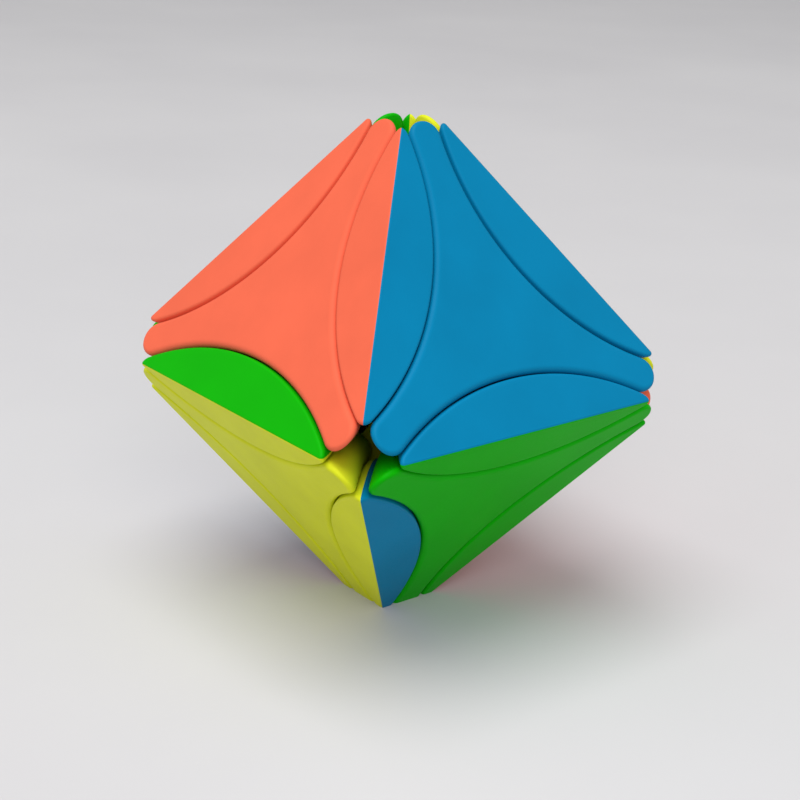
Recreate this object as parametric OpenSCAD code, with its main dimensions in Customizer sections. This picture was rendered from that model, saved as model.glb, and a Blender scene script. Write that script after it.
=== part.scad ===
// Eight-faced twisty puzzle: an octahedron whose eight faces are layers that turn.
// +Z is up and the origin is the middle of the core. Vertices lie on the X, Y and Z axes,
// so that the front of the puzzle faces -Y.

/* [Outside] */
// Edge length of the octahedron with its corners left sharp
edge_len = 68; // [64:1:76]
// Distance from the middle to the centre of a layer's cutting sphere, as a share of edge_len
cut_centre = 0.868; // [0.862:0.001:0.874]
// Radius of a layer's cutting sphere, as a share of edge_len
cut_radius = 0.671; // [0.668:0.001:0.674]
// Gap between neighbouring pieces
gap = 0.3; // [0.2:0.05:0.4]
// Wall thickness of the coloured shells
wall = 1.5; // [1.2:0.1:1.8]
// Radius that rounds the arm ends of a star
tip_round = 2.9; // [2:0.1:3.2]
// Radius that rounds the sharp rim of an edge piece
nose_round = 1.2; // [0.9:0.1:2.4]
// Radius between a flat face and a curved side wall
rim_round = 0.5; // [0.3:0.1:1]
// Radius along the ridge of an edge piece
crest_round = 0.6; // [0.3:0.1:1]

/* [Mechanism] */
// Thickness of an edge piece's foot
foot_t = 3.5; // [3:0.1:4]
// Half angle of the cone round a face axis that the feet of one layer fill
foot_angle = 53.5; // [52.5:0.1:54]
// Diameter of a star's stem
stem_d = 8.6; // [8:0.1:8.8]
// Diameter of the well for the spring in a star's stem
well_d = 6.2; // [6:0.1:6.4]
// Diameter of the screw's shank
screw_d = 3; // [2.6:0.1:3.2]
// Diameter of the screw's head
head_d = 5.4; // [5:0.1:5.6]
// Wall thickness of the hollow core
core_wall = 2.2; // [1.8:0.1:2.8]

/* [Hidden] */
$fn = 96;
coral = "#f4694c";
blue = "#0d86b8";
yellow = "#d8dc28";
green = "#1fae1c";
black = "#202022";
steel = "#b4b6ba";

// Faces: name, the signs of the face's outward normal, colour.
FACES = [
    ["upper_left_front", [-1, -1, 1], coral],
    ["upper_right_front", [1, -1, 1], blue],
    ["upper_right_back", [1, 1, 1], yellow],
    ["upper_left_back", [-1, 1, 1], green],
    ["lower_left_front", [-1, -1, -1], yellow],
    ["lower_right_front", [1, -1, -1], green],
    ["lower_right_back", [1, 1, -1], coral],
    ["lower_left_back", [-1, 1, -1], blue],
];
// Edges: name, turn that brings the edge from the top to its place, then the name and colour
// of its half on the -X side before that turn, and of its half on the +X side.
// The lower left front layer has been turned by a third, which carries three edges round.
EDGES = [
    ["top_front", [45, 0, 0], "left", coral, "right", blue],
    ["top_back", [-45, 0, 0], "left", green, "right", yellow],
    ["top_right", [45, 0, 90], "front", blue, "back", yellow],
    ["top_left", [-45, 0, 90], "front", coral, "back", green],
    ["left_front", [0, 90, 225], "upper", green, "lower", yellow],
    ["right_front", [0, 90, 315], "upper", blue, "lower", green],
    ["right_back", [0, 90, 45], "upper", yellow, "lower", coral],
    ["left_back", [0, 90, 135], "upper", green, "lower", blue],
    ["bottom_front", [135, 0, 0], "left", yellow, "right", blue],
    ["bottom_back", [-135, 0, 0], "left", blue, "right", coral],
    ["bottom_right", [135, 0, 90], "front", green, "back", coral],
    ["bottom_left", [-135, 0, 90], "front", yellow, "back", coral],
];

// The octahedron: a face's distance, its tilt from the vertical, and half the angle between
// the outward normals of two faces that share an edge.
face_dist = edge_len / sqrt(6);
face_tilt = acos(1 / sqrt(3));
half_step = 90 - face_tilt;
crest_dist = edge_len / 2;
big = 2 * edge_len;

// The cutting spheres. Pieces inside a layer stay inside cut_in, pieces outside it stay
// outside cut_out. The spheres of two neighbouring faces overlap in a lens, whose middle lies
// lens_out from the origin, and whose sphere centres lie lens_off to each side.
cut_dist = cut_centre * edge_len;
cut_in = cut_radius * edge_len - gap / 2;
cut_out = cut_in + gap;
lens_out = cut_dist * cos(half_step);
lens_off = cut_dist * sin(half_step);
// A neighbour's sphere, seen along a star's own axis: how far aside and how high it lies.
side_off = cut_dist * sin(2 * half_step);
side_rise = cut_dist * cos(2 * half_step);
// A rounding disc stands this much proud of the walls it joins, so that it crosses them.
proud = 0.01;

// The feet fill a spherical shell under the flanges of the stars and over the core.
lens_inner = lens_out - sqrt(pow(cut_in, 2) - pow(lens_off, 2));
foot_top = lens_inner + 2.1;
foot_bottom = foot_top - foot_t;
core_r = foot_bottom - gap;
core_ball_r = 6;
boss_r = 3.2;
screw_tip = 8;
seat = core_r - 0.7;
stem_bottom = seat + gap;

// Heights along a face axis, from the stem's end to the ceiling of the cap.
well_floor = stem_bottom + 2;
spring_len = 4;
washer_t = 0.4;
head_t = 2.2;
washer_z = well_floor + spring_len;
head_z = washer_z + washer_t;
ceiling = face_dist - wall;
tube_top = ceiling - 1.2;
flange_bottom = foot_top + gap - 2.8;
flange_top = flange_bottom + 5;
flange_reach = 14;
hollow_reach = 22;
fit = 0.15;
wire_d = 0.6;
spring_r = 2.4;
coils = 5;

peg_r = 1.1;
peg_len = 2;
peg_boss_r = 2.2;
peg_boss_len = 3;
peg_y = 12;
peg_z = crest_dist - 5.5;

function unit(v) = v / norm(v);

// --- Placing ---------------------------------------------------------------------------------

// Turns +Z to a face's outward normal and +X to the face's vertex on the Z axis.
module on_face(signs) {
    up = signs[2] > 0;
    rotate([0, up ? face_tilt : 180 - face_tilt, atan2(signs[1], signs[0])])
        rotate(up ? 180 : 0)
        children();
}

module on_all_faces() {
    for (f = FACES)
        on_face(f[1]) children();
}

// The half space below the height h.
module below(h) {
    translate([-big / 2, -big / 2, h - big])
        cube(big);
}

// --- Rounding --------------------------------------------------------------------------------

// What a disc at c leaves of the corner between its tangent points a and b and the apex.
module corner_waste(c, r, a, b, apex) {
    difference() {
        polygon([a, b, c + 3 * (apex - c)]);
        translate(c) circle(r);
    }
}

// The waste ring where a flat face at face_dist meets a sphere of radius r about a centre at
// height h on the same axis. The piece is inside the sphere for side = 1, outside for -1.
module rim_waste(r, h, side) {
    low = face_dist - h;
    reach = r + side * proud;
    c = [sqrt(pow(reach - side * rim_round, 2) - pow(low - rim_round + proud, 2)),
         low - rim_round + proud];
    translate([0, 0, h])
        rotate_extrude()
        corner_waste(c, rim_round, c + [0, rim_round], c + side * rim_round * unit(c),
                     [sqrt(pow(r, 2) - pow(low, 2)), low]);
}

// The waste ring along the circle where a star's own sphere meets a neighbour's sphere.
module tip_waste() {
    own = cut_in + proud - tip_round;
    other = cut_out - proud + tip_round;
    u = (pow(other, 2) - pow(own, 2)) / (4 * lens_off);
    c = [sqrt(pow(own, 2) - pow(u - lens_off, 2)), u];
    apex_u = (pow(cut_out, 2) - pow(cut_in, 2)) / (4 * lens_off);
    apex = [sqrt(pow(cut_in, 2) - pow(apex_u - lens_off, 2)), apex_u];
    rotate_extrude()
        corner_waste(c, tip_round, c + tip_round * unit(c - [0, lens_off]),
                     c - tip_round * unit(c + [0, lens_off]), apex);
}

// --- Stars -----------------------------------------------------------------------------------

// Places a child at the sphere centre of each neighbour of the star on the +Z axis.
module at_neighbours() {
    for (turn = [60, 180, 300])
        rotate(turn) translate([side_off, 0, side_rise]) children();
}

// Turns +Z to the line from a neighbour's sphere centre to the star's own, about its middle.
module at_neighbour_lines() {
    for (turn = [60, 180, 300])
        rotate(turn)
            translate([side_off / 2, 0, (side_rise + cut_dist) / 2])
            rotate([0, -face_tilt, 0])
            children();
}

// The plan of a star's hollow, with a clearance inside its walls.
module hollow_plan(reach, clearance) {
    difference() {
        circle(reach);
        for (turn = [60, 180, 300])
            rotate(turn) translate([side_off, 0]) circle(cut_out + wall + clearance);
    }
}

// A star's block with sharp corners.
module star_block() {
    difference() {
        intersection() {
            translate([0, 0, cut_dist]) sphere(cut_in);
            below(face_dist);
        }
        at_neighbours() sphere(cut_out);
        sphere(foot_top + gap);
    }
}

module star_with_round_tips() {
    difference() {
        star_block();
        at_neighbour_lines() tip_waste();
    }
}

module star_with_round_sides() {
    difference() {
        star_with_round_tips();
        for (turn = [60, 180, 300])
            rotate(turn) translate([side_off, 0, 0]) rim_waste(cut_out, side_rise, -1);
    }
}

module star_body() {
    difference() {
        star_with_round_sides();
        rim_waste(cut_in, cut_dist, 1);
    }
}

module star_cap(f) {
    color(f[2])
        on_face(f[1]) {
            difference() {
                star_body();
                linear_extrude(ceiling) hollow_plan(hollow_reach, 0);
            }
            translate([0, 0, tube_top - 1.8])
                linear_extrude(ceiling - tube_top + 1.9)
                difference() {
                    circle(stem_d / 2 + fit + 1.3);
                    circle(stem_d / 2 + fit);
                }
        }
}

module star_base(f) {
    color(black)
        on_face(f[1])
        difference() {
            union() {
                difference() {
                    translate([0, 0, flange_bottom])
                        linear_extrude(flange_top - flange_bottom)
                        hollow_plan(flange_reach, fit);
                    sphere(foot_top + gap);
                }
                translate([0, 0, stem_bottom])
                    cylinder(h = tube_top - stem_bottom, d = stem_d);
            }
            translate([0, 0, stem_bottom - 1])
                cylinder(h = big, d = screw_d + 0.4);
            translate([0, 0, well_floor])
                cylinder(h = big, d = well_d);
        }
}

// --- Edge pieces -----------------------------------------------------------------------------

// Half of the lens between two cutting spheres, shrunk by inset, with a rounded rim. It
// reaches past the parting plane by the last value.
module lens_half(inset, rim, past) {
    r = cut_in - inset;
    c = sqrt(pow(r + proud - rim, 2) - pow(lens_off, 2));
    meet = r * unit([c, lens_off]);
    translate([0, 0, lens_out])
        rotate([0, 90, 0])
        rotate_extrude() {
            intersection() {
                translate([0, -lens_off]) circle(r);
                translate([0, -past]) square([meet[0], r]);
            }
            intersection() {
                translate([c, 0]) circle(rim);
                translate([c - rim, -past]) square([2 * rim, rim + past]);
            }
        }
}

// The shell of an edge piece's half on the +X side, with the edge at the top.
module edge_shell() {
    difference() {
        intersection() {
            lens_half(0, nose_round, 0);
            rotate([0, half_step, 0]) below(face_dist);
        }
        intersection() {
            lens_half(wall, nose_round - wall / 2, 0.5);
            rotate([0, half_step, 0]) below(face_dist - wall);
        }
        rotate([0, half_step, 0])
            translate([-side_off, 0, 0])
            rim_waste(cut_in, side_rise, 1);
        crest_waste();
    }
}

// What the crest's rounding takes off the ridge between two faces.
module crest_waste() {
    centre = crest_dist - (crest_round - proud) / cos(half_step);
    across = crest_round * sin(half_step);
    up = crest_round * cos(half_step);
    translate([0, big / 2, centre])
        rotate([90, 0, 0])
        linear_extrude(big)
        corner_waste([0, 0], crest_round, [-across, up], [across, up], [0, crest_round * 1.5]);
}

// Half of the foot: a piece of the shell between core and flanges.
module foot_half() {
    intersection() {
        difference() {
            sphere(foot_top);
            sphere(foot_bottom);
        }
        rotate([0, -half_step, 0])
            cylinder(h = edge_len / 2, r1 = 0, r2 = edge_len / 2 * tan(foot_angle));
        translate([0, -big / 2, 0]) cube([big, big, big]);
    }
}

module edge_half(e, side) {
    color(e[side + 1])
        rotate(e[1])
        mirror([side == 2 ? 1 : 0, 0, 0])
        difference() {
            union() {
                edge_shell();
                foot_half();
                for (y = [-peg_y, peg_y])
                    translate([0, y, peg_z]) rotate([0, 90, 0])
                        cylinder(h = peg_boss_len, r = peg_boss_r);
                if (side == 2)
                    for (y = [-peg_y, peg_y])
                        translate([-peg_len, y, peg_z]) rotate([0, 90, 0])
                            cylinder(h = peg_len + 1, r = peg_r);
            }
            if (side == 4)
                for (y = [-peg_y, peg_y])
                    translate([-1, y, peg_z]) rotate([0, 90, 0])
                        cylinder(h = peg_len + 1.3, r = peg_r + 0.05);
        }
}

// --- Core ------------------------------------------------------------------------------------

// One of two equal halves, with two pegs and two sockets on its parting face.
module core_half() {
    difference() {
        union() {
            intersection() {
                difference() {
                    union() {
                        difference() {
                            sphere(core_r);
                            sphere(core_r - core_wall);
                        }
                        sphere(core_ball_r);
                        on_all_faces() cylinder(h = core_r - 1, r = boss_r);
                    }
                    on_all_faces() translate([0, 0, seat]) cylinder(h = core_r, r = stem_d / 2 + 1);
                }
                translate([-big / 2, -big / 2, 0]) cube(big);
            }
            for (turn = [45, 225])
                rotate(turn) translate([core_ball_r * 0.6, 0, -peg_len])
                    cylinder(h = peg_len + 1, r = peg_r);
        }
        on_all_faces() translate([0, 0, screw_tip - 0.5])
            cylinder(h = core_r, d = screw_d + 0.1);
        for (turn = [135, 315])
            rotate(turn) translate([core_ball_r * 0.6, 0, -1])
                cylinder(h = peg_len + 1.3, r = peg_r + 0.05);
    }
}

module core_upper() {
    color(black) core_half();
}

module core_lower() {
    color(black) rotate([180, 0, 0]) core_half();
}

// --- Screws, springs and washers -------------------------------------------------------------

module axis_screws() {
    color(steel)
        on_all_faces()
        difference() {
            union() {
                translate([0, 0, screw_tip]) cylinder(h = head_z - screw_tip, d = screw_d);
                translate([0, 0, head_z]) cylinder(h = head_t, d = head_d);
            }
            for (turn = [0, 90])
                rotate(turn) translate([-1.5, -0.35, head_z + head_t - 1.2]) cube([3, 0.7, 2]);
        }
}

module washers() {
    color(steel)
        on_all_faces()
        translate([0, 0, washer_z])
        difference() {
            cylinder(h = washer_t, d = head_d + 0.2);
            translate([0, 0, -1]) cylinder(h = washer_t + 2, d = screw_d + 0.2);
        }
}

sides = 6;
steps = 12 * coils;
function coil_turn(i) = 360 * coils * i / steps;
function coil_rise(i) = (spring_len - wire_d) * i / steps + wire_d / 2;
function coil_ring(i) = [
    for (s = [0:sides - 1])
        let (r = spring_r + wire_d / 2 * cos(360 * s / sides), a = coil_turn(i))
        [r * cos(a), r * sin(a), coil_rise(i) + wire_d / 2 * sin(360 * s / sides)]
];

module spring() {
    points = [for (i = [0:steps]) each coil_ring(i)];
    walls = [
        for (i = [0:steps - 1], s = [0:sides - 1])
            let (t = (s + 1) % sides)
            [i * sides + s, i * sides + t, (i + 1) * sides + t, (i + 1) * sides + s]
    ];
    ends = [[for (s = [sides - 1:-1:0]) s], [for (s = [0:sides - 1]) steps * sides + s]];
    polyhedron(points, concat(walls, ends));
}

module springs() {
    color(steel)
        on_all_faces()
        translate([0, 0, well_floor])
        spring();
}

for (f = FACES) {
    star_cap(f);
    star_base(f);
}
for (e = EDGES, side = [2, 4])
    edge_half(e, side);
core_upper();
core_lower();
axis_screws();
springs();
washers();
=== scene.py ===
import math

import bmesh
import bpy
from mathutils import Matrix, Vector


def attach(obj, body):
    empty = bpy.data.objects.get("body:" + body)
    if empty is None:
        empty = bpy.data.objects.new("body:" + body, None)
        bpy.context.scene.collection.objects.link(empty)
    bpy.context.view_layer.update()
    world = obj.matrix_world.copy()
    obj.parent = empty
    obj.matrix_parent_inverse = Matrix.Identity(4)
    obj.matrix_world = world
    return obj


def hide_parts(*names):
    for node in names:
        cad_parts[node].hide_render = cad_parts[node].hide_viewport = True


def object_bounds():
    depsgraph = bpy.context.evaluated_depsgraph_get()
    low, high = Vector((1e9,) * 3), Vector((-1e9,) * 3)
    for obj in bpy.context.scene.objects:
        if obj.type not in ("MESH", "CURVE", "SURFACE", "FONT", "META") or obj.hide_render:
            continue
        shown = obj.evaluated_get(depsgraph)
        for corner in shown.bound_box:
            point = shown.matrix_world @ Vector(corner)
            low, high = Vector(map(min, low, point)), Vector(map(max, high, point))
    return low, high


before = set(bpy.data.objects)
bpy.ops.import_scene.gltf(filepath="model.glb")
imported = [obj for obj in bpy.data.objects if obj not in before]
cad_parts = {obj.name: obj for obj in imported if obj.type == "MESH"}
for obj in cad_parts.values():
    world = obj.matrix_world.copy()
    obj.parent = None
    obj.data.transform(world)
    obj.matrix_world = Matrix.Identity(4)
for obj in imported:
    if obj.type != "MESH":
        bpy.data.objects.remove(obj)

cad_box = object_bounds()
mm = 0.001

# --- Camera ----------------------------------------------------------------------------------
# A long lens a hand's reach away, a little to the right and above, tipped slightly to one side.

camera_turn, camera_rise, camera_tip = map(math.radians, (5.99, 19.92, 2.26))
camera_distance = 285.2 * mm
camera_aside, camera_drop = -0.6 * mm, 5.0 * mm

back = Vector((math.sin(camera_turn) * math.cos(camera_rise),
               -math.cos(camera_turn) * math.cos(camera_rise), math.sin(camera_rise)))
level_right = Vector((math.cos(camera_turn), math.sin(camera_turn), 0))
level_up = back.cross(level_right)
right = level_right * math.cos(camera_tip) + level_up * math.sin(camera_tip)
up = back.cross(right)

camera_data = bpy.data.cameras.new("camera")
camera_data.sensor_width = 36
camera_data.lens = 77.06
camera_data.clip_start, camera_data.clip_end = 0.01, 20
camera = bpy.data.objects.new("camera", camera_data)
bpy.context.scene.collection.objects.link(camera)
camera.matrix_world = Matrix((right, up, back)).transposed().to_4x4()
camera.location = back * camera_distance - right * camera_aside - up * camera_drop
bpy.context.scene.camera = camera

# --- Table and backdrop ----------------------------------------------------------------------
# One sheet of pale matt board that lies flat under the puzzle and sweeps up behind it.

board_half_width, board_front, board_back, sweep_radius = 1.6, -4.0, 1.5, 0.6
table_height = cad_box[0].z

bpy.ops.object.select_all(action="DESELECT")
bpy.ops.mesh.primitive_plane_add(size=2, location=(0, 0, 0))
board = bpy.context.object
board.name = "table_board"
for corner in board.data.vertices:
    corner.co.x *= board_half_width
    corner.co.y = board_front if corner.co.y < 0 else board_back
    corner.co.z = table_height
bpy.ops.object.mode_set(mode="EDIT")
bpy.ops.mesh.select_mode(type="VERT")
board_mesh = bmesh.from_edit_mesh(board.data)
for corner in board_mesh.verts:
    corner.select = corner.co.y > 0
board_mesh.select_flush(True)
sweep_steps = 16
for step in range(1, sweep_steps + 1):
    turn = math.radians(90) * step / sweep_steps
    bpy.ops.mesh.extrude_region_move()
    for corner in board_mesh.verts:
        if corner.select:
            corner.co.y = board_back + sweep_radius * math.sin(turn)
            corner.co.z = table_height + sweep_radius * (1 - math.cos(turn))
bpy.ops.mesh.extrude_region_move(TRANSFORM_OT_translate={"value": (0, 0, 2)})
bpy.ops.object.mode_set(mode="OBJECT")
bpy.ops.object.shade_smooth()

board_finish = bpy.data.materials.new("pale_matt_board")
board_finish.use_nodes = True
nodes, links = board_finish.node_tree.nodes, board_finish.node_tree.links
shader = nodes["Principled BSDF"]
shader.inputs["Roughness"].default_value = 0.42
shader.inputs["Specular IOR Level"].default_value = 0.35
place = nodes.new("ShaderNodeTexCoord")
cloud = nodes.new("ShaderNodeTexNoise")
cloud.inputs["Scale"].default_value = 9
cloud.inputs["Detail"].default_value = 4
tone = nodes.new("ShaderNodeValToRGB")
tone.color_ramp.elements[0].position, tone.color_ramp.elements[1].position = 0.3, 0.75
tone.color_ramp.elements[0].color = (0.545, 0.535, 0.543, 1)
tone.color_ramp.elements[1].color = (0.58, 0.57, 0.575, 1)
links.new(place.outputs["Object"], cloud.inputs["Vector"])
links.new(cloud.outputs["Fac"], tone.inputs["Fac"])
links.new(tone.outputs["Color"], shader.inputs["Base Color"])
board.data.materials.append(board_finish)

# --- Light -----------------------------------------------------------------------------------
# A bright room, one wide soft lamp overhead and a weaker one behind the camera.

room = bpy.data.worlds.new("room")
room.use_nodes = True
room.node_tree.nodes["Background"].inputs["Color"].default_value = (0.97, 0.98, 1, 1)
room.node_tree.nodes["Background"].inputs["Strength"].default_value = 0.55
bpy.context.scene.world = room
bpy.context.scene.view_settings.view_transform = "Standard"


def hang_soft_lamp(name, place, size, watts):
    lamp_data = bpy.data.lights.new(name, "AREA")
    lamp_data.shape = "RECTANGLE"
    lamp_data.size, lamp_data.size_y = size
    lamp_data.energy = watts
    lamp = bpy.data.objects.new(name, lamp_data)
    bpy.context.scene.collection.objects.link(lamp)
    lamp.location = place
    lamp.rotation_euler = (-Vector(place)).to_track_quat("-Z", "Y").to_euler()


hang_soft_lamp("overhead_lamp", (-0.25, -0.42, 2.2), (1.7, 1.7), 41)
hang_soft_lamp("front_lamp", (0.2, -1.1, 0.7), (0.8, 0.6), 4.2)

# --- Star caps -------------------------------------------------------------------------------
# Eight moulded caps, one per face: a flat three-armed star with round arm ends and a softly
# rounded rim. Each is a hollow shell with a socket under it that is glued on the star's stem.

edge_length, running_gap = 68, 0.18
half_step = math.radians(90) - math.acos(1 / math.sqrt(3))
face_distance = edge_length / math.sqrt(6)
own_centre = 0.868 * edge_length
own_cut = 0.671 * edge_length - running_gap / 2
side_cut = own_cut + running_gap
side_centre_out = own_centre * math.sin(2 * half_step)
side_centre_up = own_centre * math.cos(2 * half_step)
shell_wall = 1.5
arm_end_round, widest_share, end_rim, side_rim, flat_margin = 3.2, 0.97, 0.5, 1.0, 0.3
ceiling = face_distance - shell_wall
socket_inner, socket_outer, socket_mouth = 4.45, 5.75, ceiling - 3
hollow_reach, hollow_round, end_mouth, side_mouth = 21.5, 0.8, 17.9, 18.8
end_bottom, side_bottom = 16.3, 18.1
end_steps, corner_steps, side_steps = 2, 9, 24
rim_steps, wall_steps, hollow_steps = 9, 8, 5


def arm_plan(own_radius, side_radius, corner_radius):
    """Half of an arm's outline, from the middle of its end to the waist: x, y, and how far
    each point belongs to the arm's end rather than to its side. A narrow arm's corners are
    rounded less, so that they stay apart."""
    widest = ((own_radius ** 2 + side_centre_out ** 2 - own_radius * side_centre_out
               - side_radius ** 2)
              / (2 * own_radius - side_centre_out + 2 * side_radius))
    corner_radius = min(corner_radius, widest_share * widest)
    reach = own_radius - corner_radius
    spread = math.acos((reach ** 2 + side_centre_out ** 2 - (side_radius + corner_radius) ** 2)
                       / (2 * reach * side_centre_out))
    turn = math.radians(60) - spread
    middle = Vector((reach * math.cos(turn), reach * math.sin(turn)))
    side = Vector((math.cos(math.radians(60)), math.sin(math.radians(60)))) * side_centre_out
    towards = math.atan2(side.y - middle.y, side.x - middle.x)
    plan = []
    for step in range(end_steps):
        angle = turn * step / end_steps
        plan.append((own_radius * math.cos(angle), own_radius * math.sin(angle), 1))
    for step in range(corner_steps):
        share = step / corner_steps
        angle = turn + (towards - turn) * share
        plan.append((middle.x + corner_radius * math.cos(angle),
                     middle.y + corner_radius * math.sin(angle),
                     1 - share * share * (3 - 2 * share)))
    for step in range(side_steps + 1):
        angle = towards + math.pi + (math.radians(60) - towards) * step / side_steps
        plan.append((side.x + side_radius * math.cos(angle),
                     side.y + side_radius * math.sin(angle), 0))
    return plan


def star_ring(own_radius, side_radius, corner_radius, end_height, side_height):
    """A closed ring of points round a star, three arms of two mirrored halves."""
    half = arm_plan(own_radius, side_radius, corner_radius)
    ring = []
    for arm in range(3):
        for x, y, end in half:
            ring.append((arm, x, y, end))
        for x, y, end in half[-2:0:-1]:
            ring.append((arm + 1, x, -y, end))
    points = []
    for arm, x, y, end in ring:
        angle = math.radians(120 * arm)
        points.append(Vector((x * math.cos(angle) - y * math.sin(angle),
                              x * math.sin(angle) + y * math.cos(angle),
                              side_height + (end_height - side_height) * end)))
    return points


def round_ring(radius, height, like):
    """A circle whose points lie in the same directions as those of another ring."""
    return [Vector((p.x, p.y, 0)).normalized() * radius + Vector((0, 0, height))
            for p in like]


def own_radius_at(height, inset=0):
    return math.sqrt((own_cut - inset) ** 2 - (own_centre - height) ** 2)


def side_radius_at(height):
    return math.sqrt(side_cut ** 2 - (height - side_centre_up) ** 2)


# The middles of the circles that round the rim, at an arm's end and at a side, and how far
# round each the rim goes.
end_ball_up, side_ball_up = face_distance - end_rim, face_distance - side_rim
end_ball_out = math.sqrt((own_cut - end_rim) ** 2 - (own_centre - end_ball_up) ** 2)
side_ball_out = math.sqrt((side_cut + side_rim) ** 2 - (side_ball_up - side_centre_up) ** 2)
end_turn = math.radians(90) + math.atan2(own_centre - end_ball_up, end_ball_out)
side_turn = math.radians(90) + math.atan2(side_ball_up - side_centre_up, side_ball_out)


def rim_ring(share):
    """The star's rim, from the flat face at 0 to the curved walls at 1."""
    end, side = share * end_turn, share * side_turn
    return star_ring(end_ball_out + end_rim * math.sin(end),
                     side_ball_out - side_rim * math.sin(side),
                     arm_end_round - end_rim + end_rim * math.sin(min(end, math.radians(90))),
                     end_ball_up + end_rim * math.cos(end),
                     side_ball_up + side_rim * math.cos(side))


end_top = face_distance - end_rim * (1 - math.cos(end_turn))
side_top = face_distance - side_rim * (1 - math.cos(side_turn))
hollow = []
for step in range(hollow_steps + 1):
    end_height = ceiling + (end_mouth - ceiling) * step / hollow_steps
    side_height = ceiling + (side_mouth - ceiling) * step / hollow_steps
    hollow.append(star_ring(min(hollow_reach, own_radius_at(end_height, shell_wall)),
                            side_cut + shell_wall, hollow_round, end_height, side_height))
star_rings = [
    round_ring(socket_inner, ceiling, hollow[0]),
    round_ring(socket_inner, socket_mouth, hollow[0]),
    round_ring(socket_outer, socket_mouth, hollow[0]),
    round_ring(socket_outer, ceiling, hollow[0]),
    *hollow,
]
for step in range(wall_steps):
    share = step / wall_steps
    end_height = end_bottom + (end_top - end_bottom) * share
    side_height = side_bottom + (side_top - side_bottom) * share
    star_rings.append(star_ring(own_radius_at(end_height), side_radius_at(side_height),
                                arm_end_round, end_height, side_height))
for step in range(rim_steps, -1, -1):
    star_rings.append(rim_ring(step / rim_steps))
star_rings.append(star_ring(end_ball_out - flat_margin, side_ball_out + flat_margin,
                            arm_end_round - end_rim - flat_margin, face_distance, face_distance))


def piece_from_rings(name, rings):
    """A disc laid on the first ring, whose rim is drawn on and laid on each later ring, so
    that it ends as the flat face inside the last one."""
    bpy.ops.object.select_all(action="DESELECT")
    bpy.ops.mesh.primitive_circle_add(vertices=len(rings[0]), radius=1, fill_type="NGON")
    piece = bpy.context.object
    piece.name = name
    for corner, point in zip(piece.data.vertices, rings[0]):
        corner.co = point
    bpy.ops.object.mode_set(mode="EDIT")
    bpy.ops.mesh.select_mode(type="FACE")
    bpy.ops.mesh.select_all(action="SELECT")
    mesh = bmesh.from_edit_mesh(piece.data)
    place_round = mesh.verts.layers.int.new("place_round")
    for number, corner in enumerate(mesh.verts):
        corner[place_round] = number
    for ring in rings[1:]:
        bpy.ops.mesh.extrude_region_move()
        for corner in mesh.verts:
            if corner.select:
                corner.co = ring[corner[place_round]]
    bpy.ops.mesh.select_all(action="SELECT")
    bpy.ops.mesh.remove_doubles(threshold=0.001)
    bpy.ops.mesh.normals_make_consistent(inside=False)
    bpy.ops.object.mode_set(mode="OBJECT")
    return piece


star = piece_from_rings("star", star_rings)


def smooth_and_scale(piece):
    """Turns a piece modelled in millimetres to metres and smooths all but its sharp edges."""
    piece.data.transform(Matrix.Scale(mm, 4))
    bpy.ops.object.select_all(action="DESELECT")
    piece.select_set(True)
    bpy.context.view_layer.objects.active = piece
    bpy.ops.object.shade_smooth_by_angle(angle=math.radians(32))


smooth_and_scale(star)


def moulded_plastic(name, colour):
    """Satin moulded plastic: an even colour with faint clouds, and a fine spark-eroded grain."""
    darker, lighter = 0.95, 1.04
    smoothest, roughest = 0.36, 0.50
    finish = bpy.data.materials.new(name)
    finish.use_nodes = True
    nodes, links = finish.node_tree.nodes, finish.node_tree.links
    shader = nodes["Principled BSDF"]
    shader.inputs["Specular IOR Level"].default_value = 0.05
    place = nodes.new("ShaderNodeTexCoord")

    cloud = nodes.new("ShaderNodeTexNoise")
    cloud.inputs["Scale"].default_value = 90
    cloud.inputs["Detail"].default_value = 3
    tone = nodes.new("ShaderNodeValToRGB")
    tone.color_ramp.elements[0].position, tone.color_ramp.elements[1].position = 0.3, 0.7
    tone.color_ramp.elements[0].color = (*[c * darker for c in colour], 1)
    tone.color_ramp.elements[1].color = (*[c * lighter for c in colour], 1)
    links.new(place.outputs["Object"], cloud.inputs["Vector"])
    links.new(cloud.outputs["Fac"], tone.inputs["Fac"])
    links.new(tone.outputs["Color"], shader.inputs["Base Color"])

    grain = nodes.new("ShaderNodeTexNoise")
    grain.inputs["Scale"].default_value = 2600
    grain.inputs["Detail"].default_value = 2
    shine = nodes.new("ShaderNodeMapRange")
    shine.inputs["To Min"].default_value = smoothest
    shine.inputs["To Max"].default_value = roughest
    relief = nodes.new("ShaderNodeBump")
    relief.inputs["Strength"].default_value = 0.35
    relief.inputs["Distance"].default_value = 0.03 * mm
    links.new(place.outputs["Object"], grain.inputs["Vector"])
    links.new(grain.outputs["Fac"], shine.inputs["Value"])
    links.new(grain.outputs["Fac"], relief.inputs["Height"])
    links.new(shine.outputs["Result"], shader.inputs["Roughness"])
    links.new(relief.outputs["Normal"], shader.inputs["Normal"])
    return finish


coloured_plastic = {
    "coral": moulded_plastic("coral_satin_plastic", (0.80, 0.138, 0.070)),
    "blue": moulded_plastic("blue_satin_plastic", (0.001, 0.197, 0.385)),
    "yellow": moulded_plastic("yellow_satin_plastic", (0.70, 0.75, 0.02)),
    "green": moulded_plastic("green_satin_plastic", (0.004, 0.41, 0.001)),
}

star_faces = [
    ("upper_left_front", (-1, -1, 1), "coral"),
    ("upper_right_front", (1, -1, 1), "blue"),
    ("upper_right_back", (1, 1, 1), "yellow"),
    ("upper_left_back", (-1, 1, 1), "green"),
    ("lower_left_front", (-1, -1, -1), "yellow"),
    ("lower_right_front", (1, -1, -1), "green"),
    ("lower_right_back", (1, 1, -1), "coral"),
    ("lower_left_back", (-1, 1, -1), "blue"),
]


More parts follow.
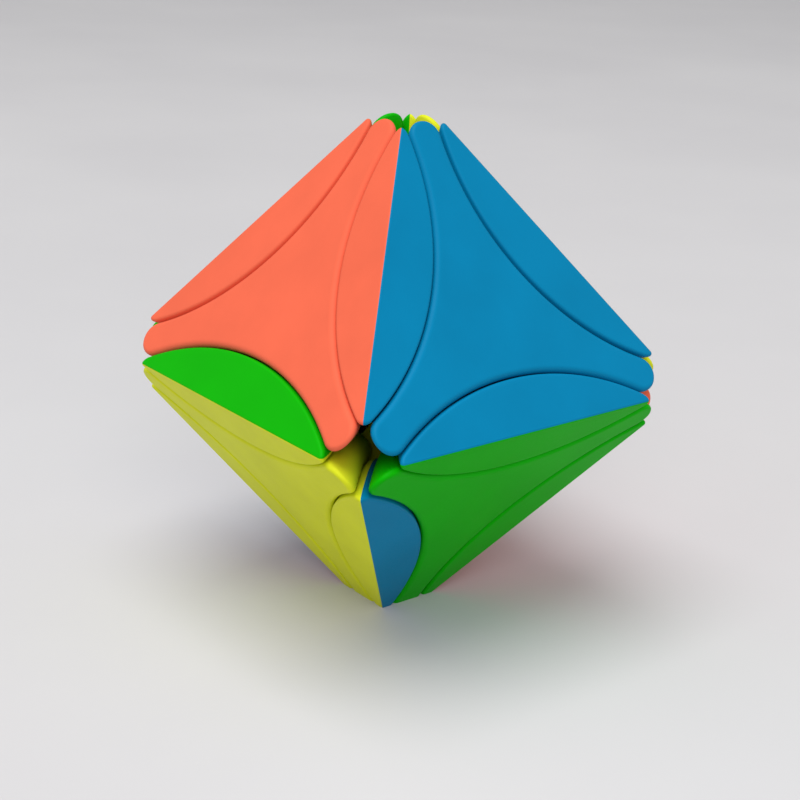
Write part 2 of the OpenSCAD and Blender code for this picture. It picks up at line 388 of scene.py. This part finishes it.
def copied_piece(pattern, name, placing, colour, body, node):
    """A copy of a finished pattern, laid in its place, coloured, and fixed to its body."""
    piece = bpy.data.objects.new(name, pattern.data.copy())
    bpy.context.scene.collection.objects.link(piece)
    piece.data.transform(placing)
    piece.data.materials.clear()
    piece.data.materials.append(coloured_plastic[colour])
    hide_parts(node)
    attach(piece, body)
    return piece


for face, (x, y, z), colour in star_faces:
    lean = math.acos(z / math.sqrt(3))
    placing = (Matrix.Rotation(math.atan2(y, x), 4, "Z") @ Matrix.Rotation(lean, 4, "Y")
               @ Matrix.Rotation(math.pi if z > 0 else 0, 4, "Z"))
    copied_piece(star, face + "_cap", placing, colour, face + "_star",
                 face + "_star_cap")
bpy.data.objects.remove(star)

# --- Edge pieces -----------------------------------------------------------------------------
# Twelve edge pieces, each of two moulded halves that meet on the ridge. A half is a hollow shell,
# half a lens cut by a flat face, and the half foot under it that the stars hold down.

lens_height, lens_aside = own_centre * math.cos(half_step), own_centre * math.sin(half_step)
nose_round, inner_nose_round, petal_rim = 1.4, 0.4, 0.5
foot_height, foot_grip, foot_seat, foot_angle = 3.5, 2.1, 0.3, math.radians(53.5)
foot_top = lens_height - math.sqrt(own_cut ** 2 - lens_aside ** 2) + foot_grip
upright = Vector((0, 0, 1))
face_normal = Vector((math.sin(half_step), 0, math.cos(half_step)))
into_petal = Vector((math.cos(half_step), 0, -math.sin(half_step)))
nose_steps, petal_steps, fan_steps, petal_rim_steps = 8, 22, 4, 6
bowl_steps, keel_steps = 6, 5
foot_rows, foot_columns = 30, 8


def lens_normal(out, along):
    return Vector((math.sin(out), math.cos(out) * math.sin(along),
                   -math.cos(out) * math.cos(along)))


def nose_shape(inset):
    """How round the lens's rim is, how far its rounding's middle lies from the lens's axis,
    and how far its normal leans out where the rounding ends."""
    rounding = max(nose_round - inset, inner_nose_round)
    ring = math.sqrt((own_cut - inset - rounding) ** 2 - lens_aside ** 2)
    return rounding, ring, math.atan2(lens_aside, ring)


def lens_point(out, along, inset):
    """A point of the lens, inset from its surface, where its normal leans out from the
    parting plane by one angle and goes round the lens by the other."""
    rounding, ring, nose_turn = nose_shape(inset)
    if out <= nose_turn:
        aside = rounding * math.sin(out)
        radius = ring + rounding * math.cos(out)
    else:
        aside = (own_cut - inset) * math.sin(out) - lens_aside
        radius = (own_cut - inset) * math.cos(out)
    return Vector((aside, radius * math.sin(along), lens_height - radius * math.cos(along)))


def petal_outline(depth, inset):
    """The two angles of each point of the petal's curved edge at a depth under its face, from
    one nose to the other."""
    half = []
    nose_turn = nose_shape(inset)[2]
    for step in range(nose_steps + 1):
        out = nose_turn * step / nose_steps
        point = lens_point(out, 0, inset)
        height = (face_distance - depth - point.x * math.sin(half_step)) / math.cos(half_step)
        half.append((out, math.acos((lens_height - height) / (lens_height - point.z))))
    middle_depth = depth + side_centre_up - face_distance
    arc = math.sqrt((own_cut - inset) ** 2 - middle_depth ** 2)
    start = math.asin(lens_point(*half[-1], inset).y / arc)
    for step in range(1, petal_steps + 1):
        turn = start * (1 - step / petal_steps)
        inward = arc * math.cos(turn) - side_centre_out
        point = (into_petal * inward
                 + face_normal * (face_distance - depth))
        half.append((math.asin((point.x + lens_aside) / (own_cut - inset)),
                     math.atan2(arc * math.sin(turn), lens_height - point.z)))
    return half + [(out, -along) for out, along in half[-2::-1]]


def bowl_rings(outline, inset, fans):
    """Rings down the lens from the petal's edge to the parting plane. They stay on the ridge
    at the points of two fans, and rest on the foot."""
    steps = [(step / bowl_steps, 1) for step in range(1, bowl_steps + 1)]
    steps += [(1, 1 - step / keel_steps) for step in range(1, keel_steps + 1)]
    nose_turn = nose_shape(inset)[2]
    rings = []
    for bowl, keel in steps:
        row = []
        for out, along in outline:
            point = lens_point((out + (min(out, nose_turn) - out) * bowl) * keel, along, inset)
            if point.length < foot_top - foot_seat + inset:
                point = point.normalized() * (foot_top - foot_seat + inset)
            row.append(point)
        rings.append(fans[0] + row + fans[1])
    return rings


def nose_corner(out, along, share):
    """Points round the corner where petal, ridge and nose meet, from the ridge to the nose."""
    middle = lens_point(out, along, petal_rim)
    on_ridge = face_normal.slerp(upright, share)
    on_nose = face_normal.slerp(lens_normal(out, along), share)
    return [middle + petal_rim * on_ridge.slerp(on_nose, number / fan_steps)
            for number in range(fan_steps)]


# The hollow's flat roof and bowl, then the outside bowl, the rounded rim and the flat petal.
roof = petal_outline(shell_wall, shell_wall)
roof_row = [lens_point(out, along, shell_wall) for out, along in roof]
roof_fans = [roof_row[0]] * fan_steps, [roof_row[-1]] * fan_steps
shell_rings = [roof_fans[0] + roof_row + roof_fans[1]] + bowl_rings(roof, shell_wall, roof_fans)
outline = petal_outline(petal_rim, petal_rim)
rim_rings = []
for step in range(petal_rim_steps + 1):
    share = step / petal_rim_steps
    fans = nose_corner(*outline[0], share), nose_corner(*outline[-1], share)[::-1]
    rim_row = [lens_point(out, along, petal_rim)
               + petal_rim * face_normal.slerp(lens_normal(out, along), share)
               for out, along in outline]
    rim_rings.append(fans[0] + rim_row + fans[1])
shell_rings += (rim_rings + bowl_rings(outline, 0, fans))[::-1]
flat_inset = petal_rim + 2 * flat_margin
flat_row = [lens_point(out, along, flat_inset) + petal_rim * face_normal
            + flat_margin * into_petal for out, along in petal_outline(petal_rim, flat_inset)]
shell_rings.append([flat_row[0]] * fan_steps + flat_row + [flat_row[-1]] * fan_steps)
edge_half = piece_from_rings("edge_half", shell_rings)

# The half foot: a sheet on the sphere of the foot's top, thickened towards the core.
own_axis = Vector((-math.sin(half_step), 0, math.cos(half_step)))
own_aside = Vector((math.cos(half_step), 0, math.sin(half_step)))
foot_turn = math.acos(math.tan(half_step) / math.tan(foot_angle))
bpy.ops.object.select_all(action="DESELECT")
bpy.ops.mesh.primitive_grid_add(x_subdivisions=foot_columns, y_subdivisions=foot_rows, size=1)
foot = bpy.context.object
foot_points = []
for row in range(foot_rows + 1):
    turn = foot_turn * (2 * row / foot_rows - 1)
    rim_point = (own_axis * math.cos(foot_angle)
                 + math.sin(foot_angle) * (own_aside * math.cos(turn)
                                           + Vector((0, math.sin(turn), 0))))
    ridge_point = Vector((0, rim_point.y, math.sqrt(1 - rim_point.y ** 2)))
    for column in range(foot_columns + 1):
        foot_points.append(ridge_point.slerp(rim_point, column / foot_columns) * foot_top)
for corner, point in zip(foot.data.vertices, foot_points):
    corner.co = point
thickness = foot.modifiers.new("thickness", "SOLIDIFY")
thickness.thickness, thickness.offset = foot_height, -1
bpy.ops.object.mode_set(mode="EDIT")
bpy.ops.mesh.select_all(action="SELECT")
bpy.ops.mesh.remove_doubles(threshold=0.001)
bpy.ops.object.mode_set(mode="OBJECT")
bpy.ops.object.modifier_apply(modifier="thickness")
for corner in foot.data.vertices:
    corner.co.x = max(corner.co.x, 0)
edge_half.select_set(True)
bpy.context.view_layer.objects.active = edge_half
bpy.ops.object.join()
smooth_and_scale(edge_half)

edge_pieces = [
    ("top_front", (45, 0, 0), "left", "coral", "right", "blue"),
    ("top_back", (-45, 0, 0), "left", "green", "right", "yellow"),
    ("top_right", (45, 0, 90), "front", "blue", "back", "yellow"),
    ("top_left", (-45, 0, 90), "front", "coral", "back", "green"),
    ("left_front", (0, 90, 225), "upper", "green", "lower", "yellow"),
    ("right_front", (0, 90, 315), "upper", "blue", "lower", "green"),
    ("right_back", (0, 90, 45), "upper", "yellow", "lower", "coral"),
    ("left_back", (0, 90, 135), "upper", "green", "lower", "blue"),
    ("bottom_front", (135, 0, 0), "left", "yellow", "right", "blue"),
    ("bottom_back", (-135, 0, 0), "left", "blue", "right", "coral"),
    ("bottom_right", (135, 0, 90), "front", "green", "back", "coral"),
    ("bottom_left", (-135, 0, 90), "front", "yellow", "back", "coral"),
]
for edge, (a, b, c), first, first_colour, second, second_colour in edge_pieces:
    edge_placing = (Matrix.Rotation(math.radians(c), 4, "Z")
                    @ Matrix.Rotation(math.radians(b), 4, "Y")
                    @ Matrix.Rotation(math.radians(a), 4, "X"))
    for half, colour, turn in ((first, first_colour, math.pi), (second, second_colour, 0)):
        placing = edge_placing @ Matrix.Rotation(turn, 4, "Z")
        copied_piece(edge_half, f"{edge}_{half}_piece", placing, colour,
                     edge + "_edge", f"{edge}_edge_{half}_half")
bpy.data.objects.remove(edge_half)

# --- Inside ----------------------------------------------------------------------------------
# The stars' flanges and stems and the hollow core are moulded in black plastic. The screws,
# springs and washers that hold the stars on the core are zinc-plated steel.

black_plastic = moulded_plastic("black_inner_plastic", (0.012, 0.012, 0.013))

zinc_steel = bpy.data.materials.new("zinc_plated_steel")
zinc_steel.use_nodes = True
nodes, links = zinc_steel.node_tree.nodes, zinc_steel.node_tree.links
shader = nodes["Principled BSDF"]
shader.inputs["Metallic"].default_value = 1
place = nodes.new("ShaderNodeTexCoord")
haze = nodes.new("ShaderNodeTexNoise")
haze.inputs["Scale"].default_value = 900
tone = nodes.new("ShaderNodeValToRGB")
tone.color_ramp.elements[0].color = (0.48, 0.48, 0.49, 1)
tone.color_ramp.elements[1].color = (0.60, 0.60, 0.61, 1)
shine = nodes.new("ShaderNodeMapRange")
shine.inputs["To Min"].default_value = 0.26
shine.inputs["To Max"].default_value = 0.42
links.new(place.outputs["Object"], haze.inputs["Vector"])
links.new(haze.outputs["Fac"], tone.inputs["Fac"])
links.new(tone.outputs["Color"], shader.inputs["Base Color"])
links.new(haze.outputs["Fac"], shine.inputs["Value"])
links.new(shine.outputs["Result"], shader.inputs["Roughness"])

for name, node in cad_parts.items():
    if name.endswith("_star_base") or name.startswith("core_"):
        node.data.materials.clear()
        node.data.materials.append(black_plastic)
    if name in ("axis_screws", "springs", "washers"):
        node.data.materials.clear()
        node.data.materials.append(zinc_steel)
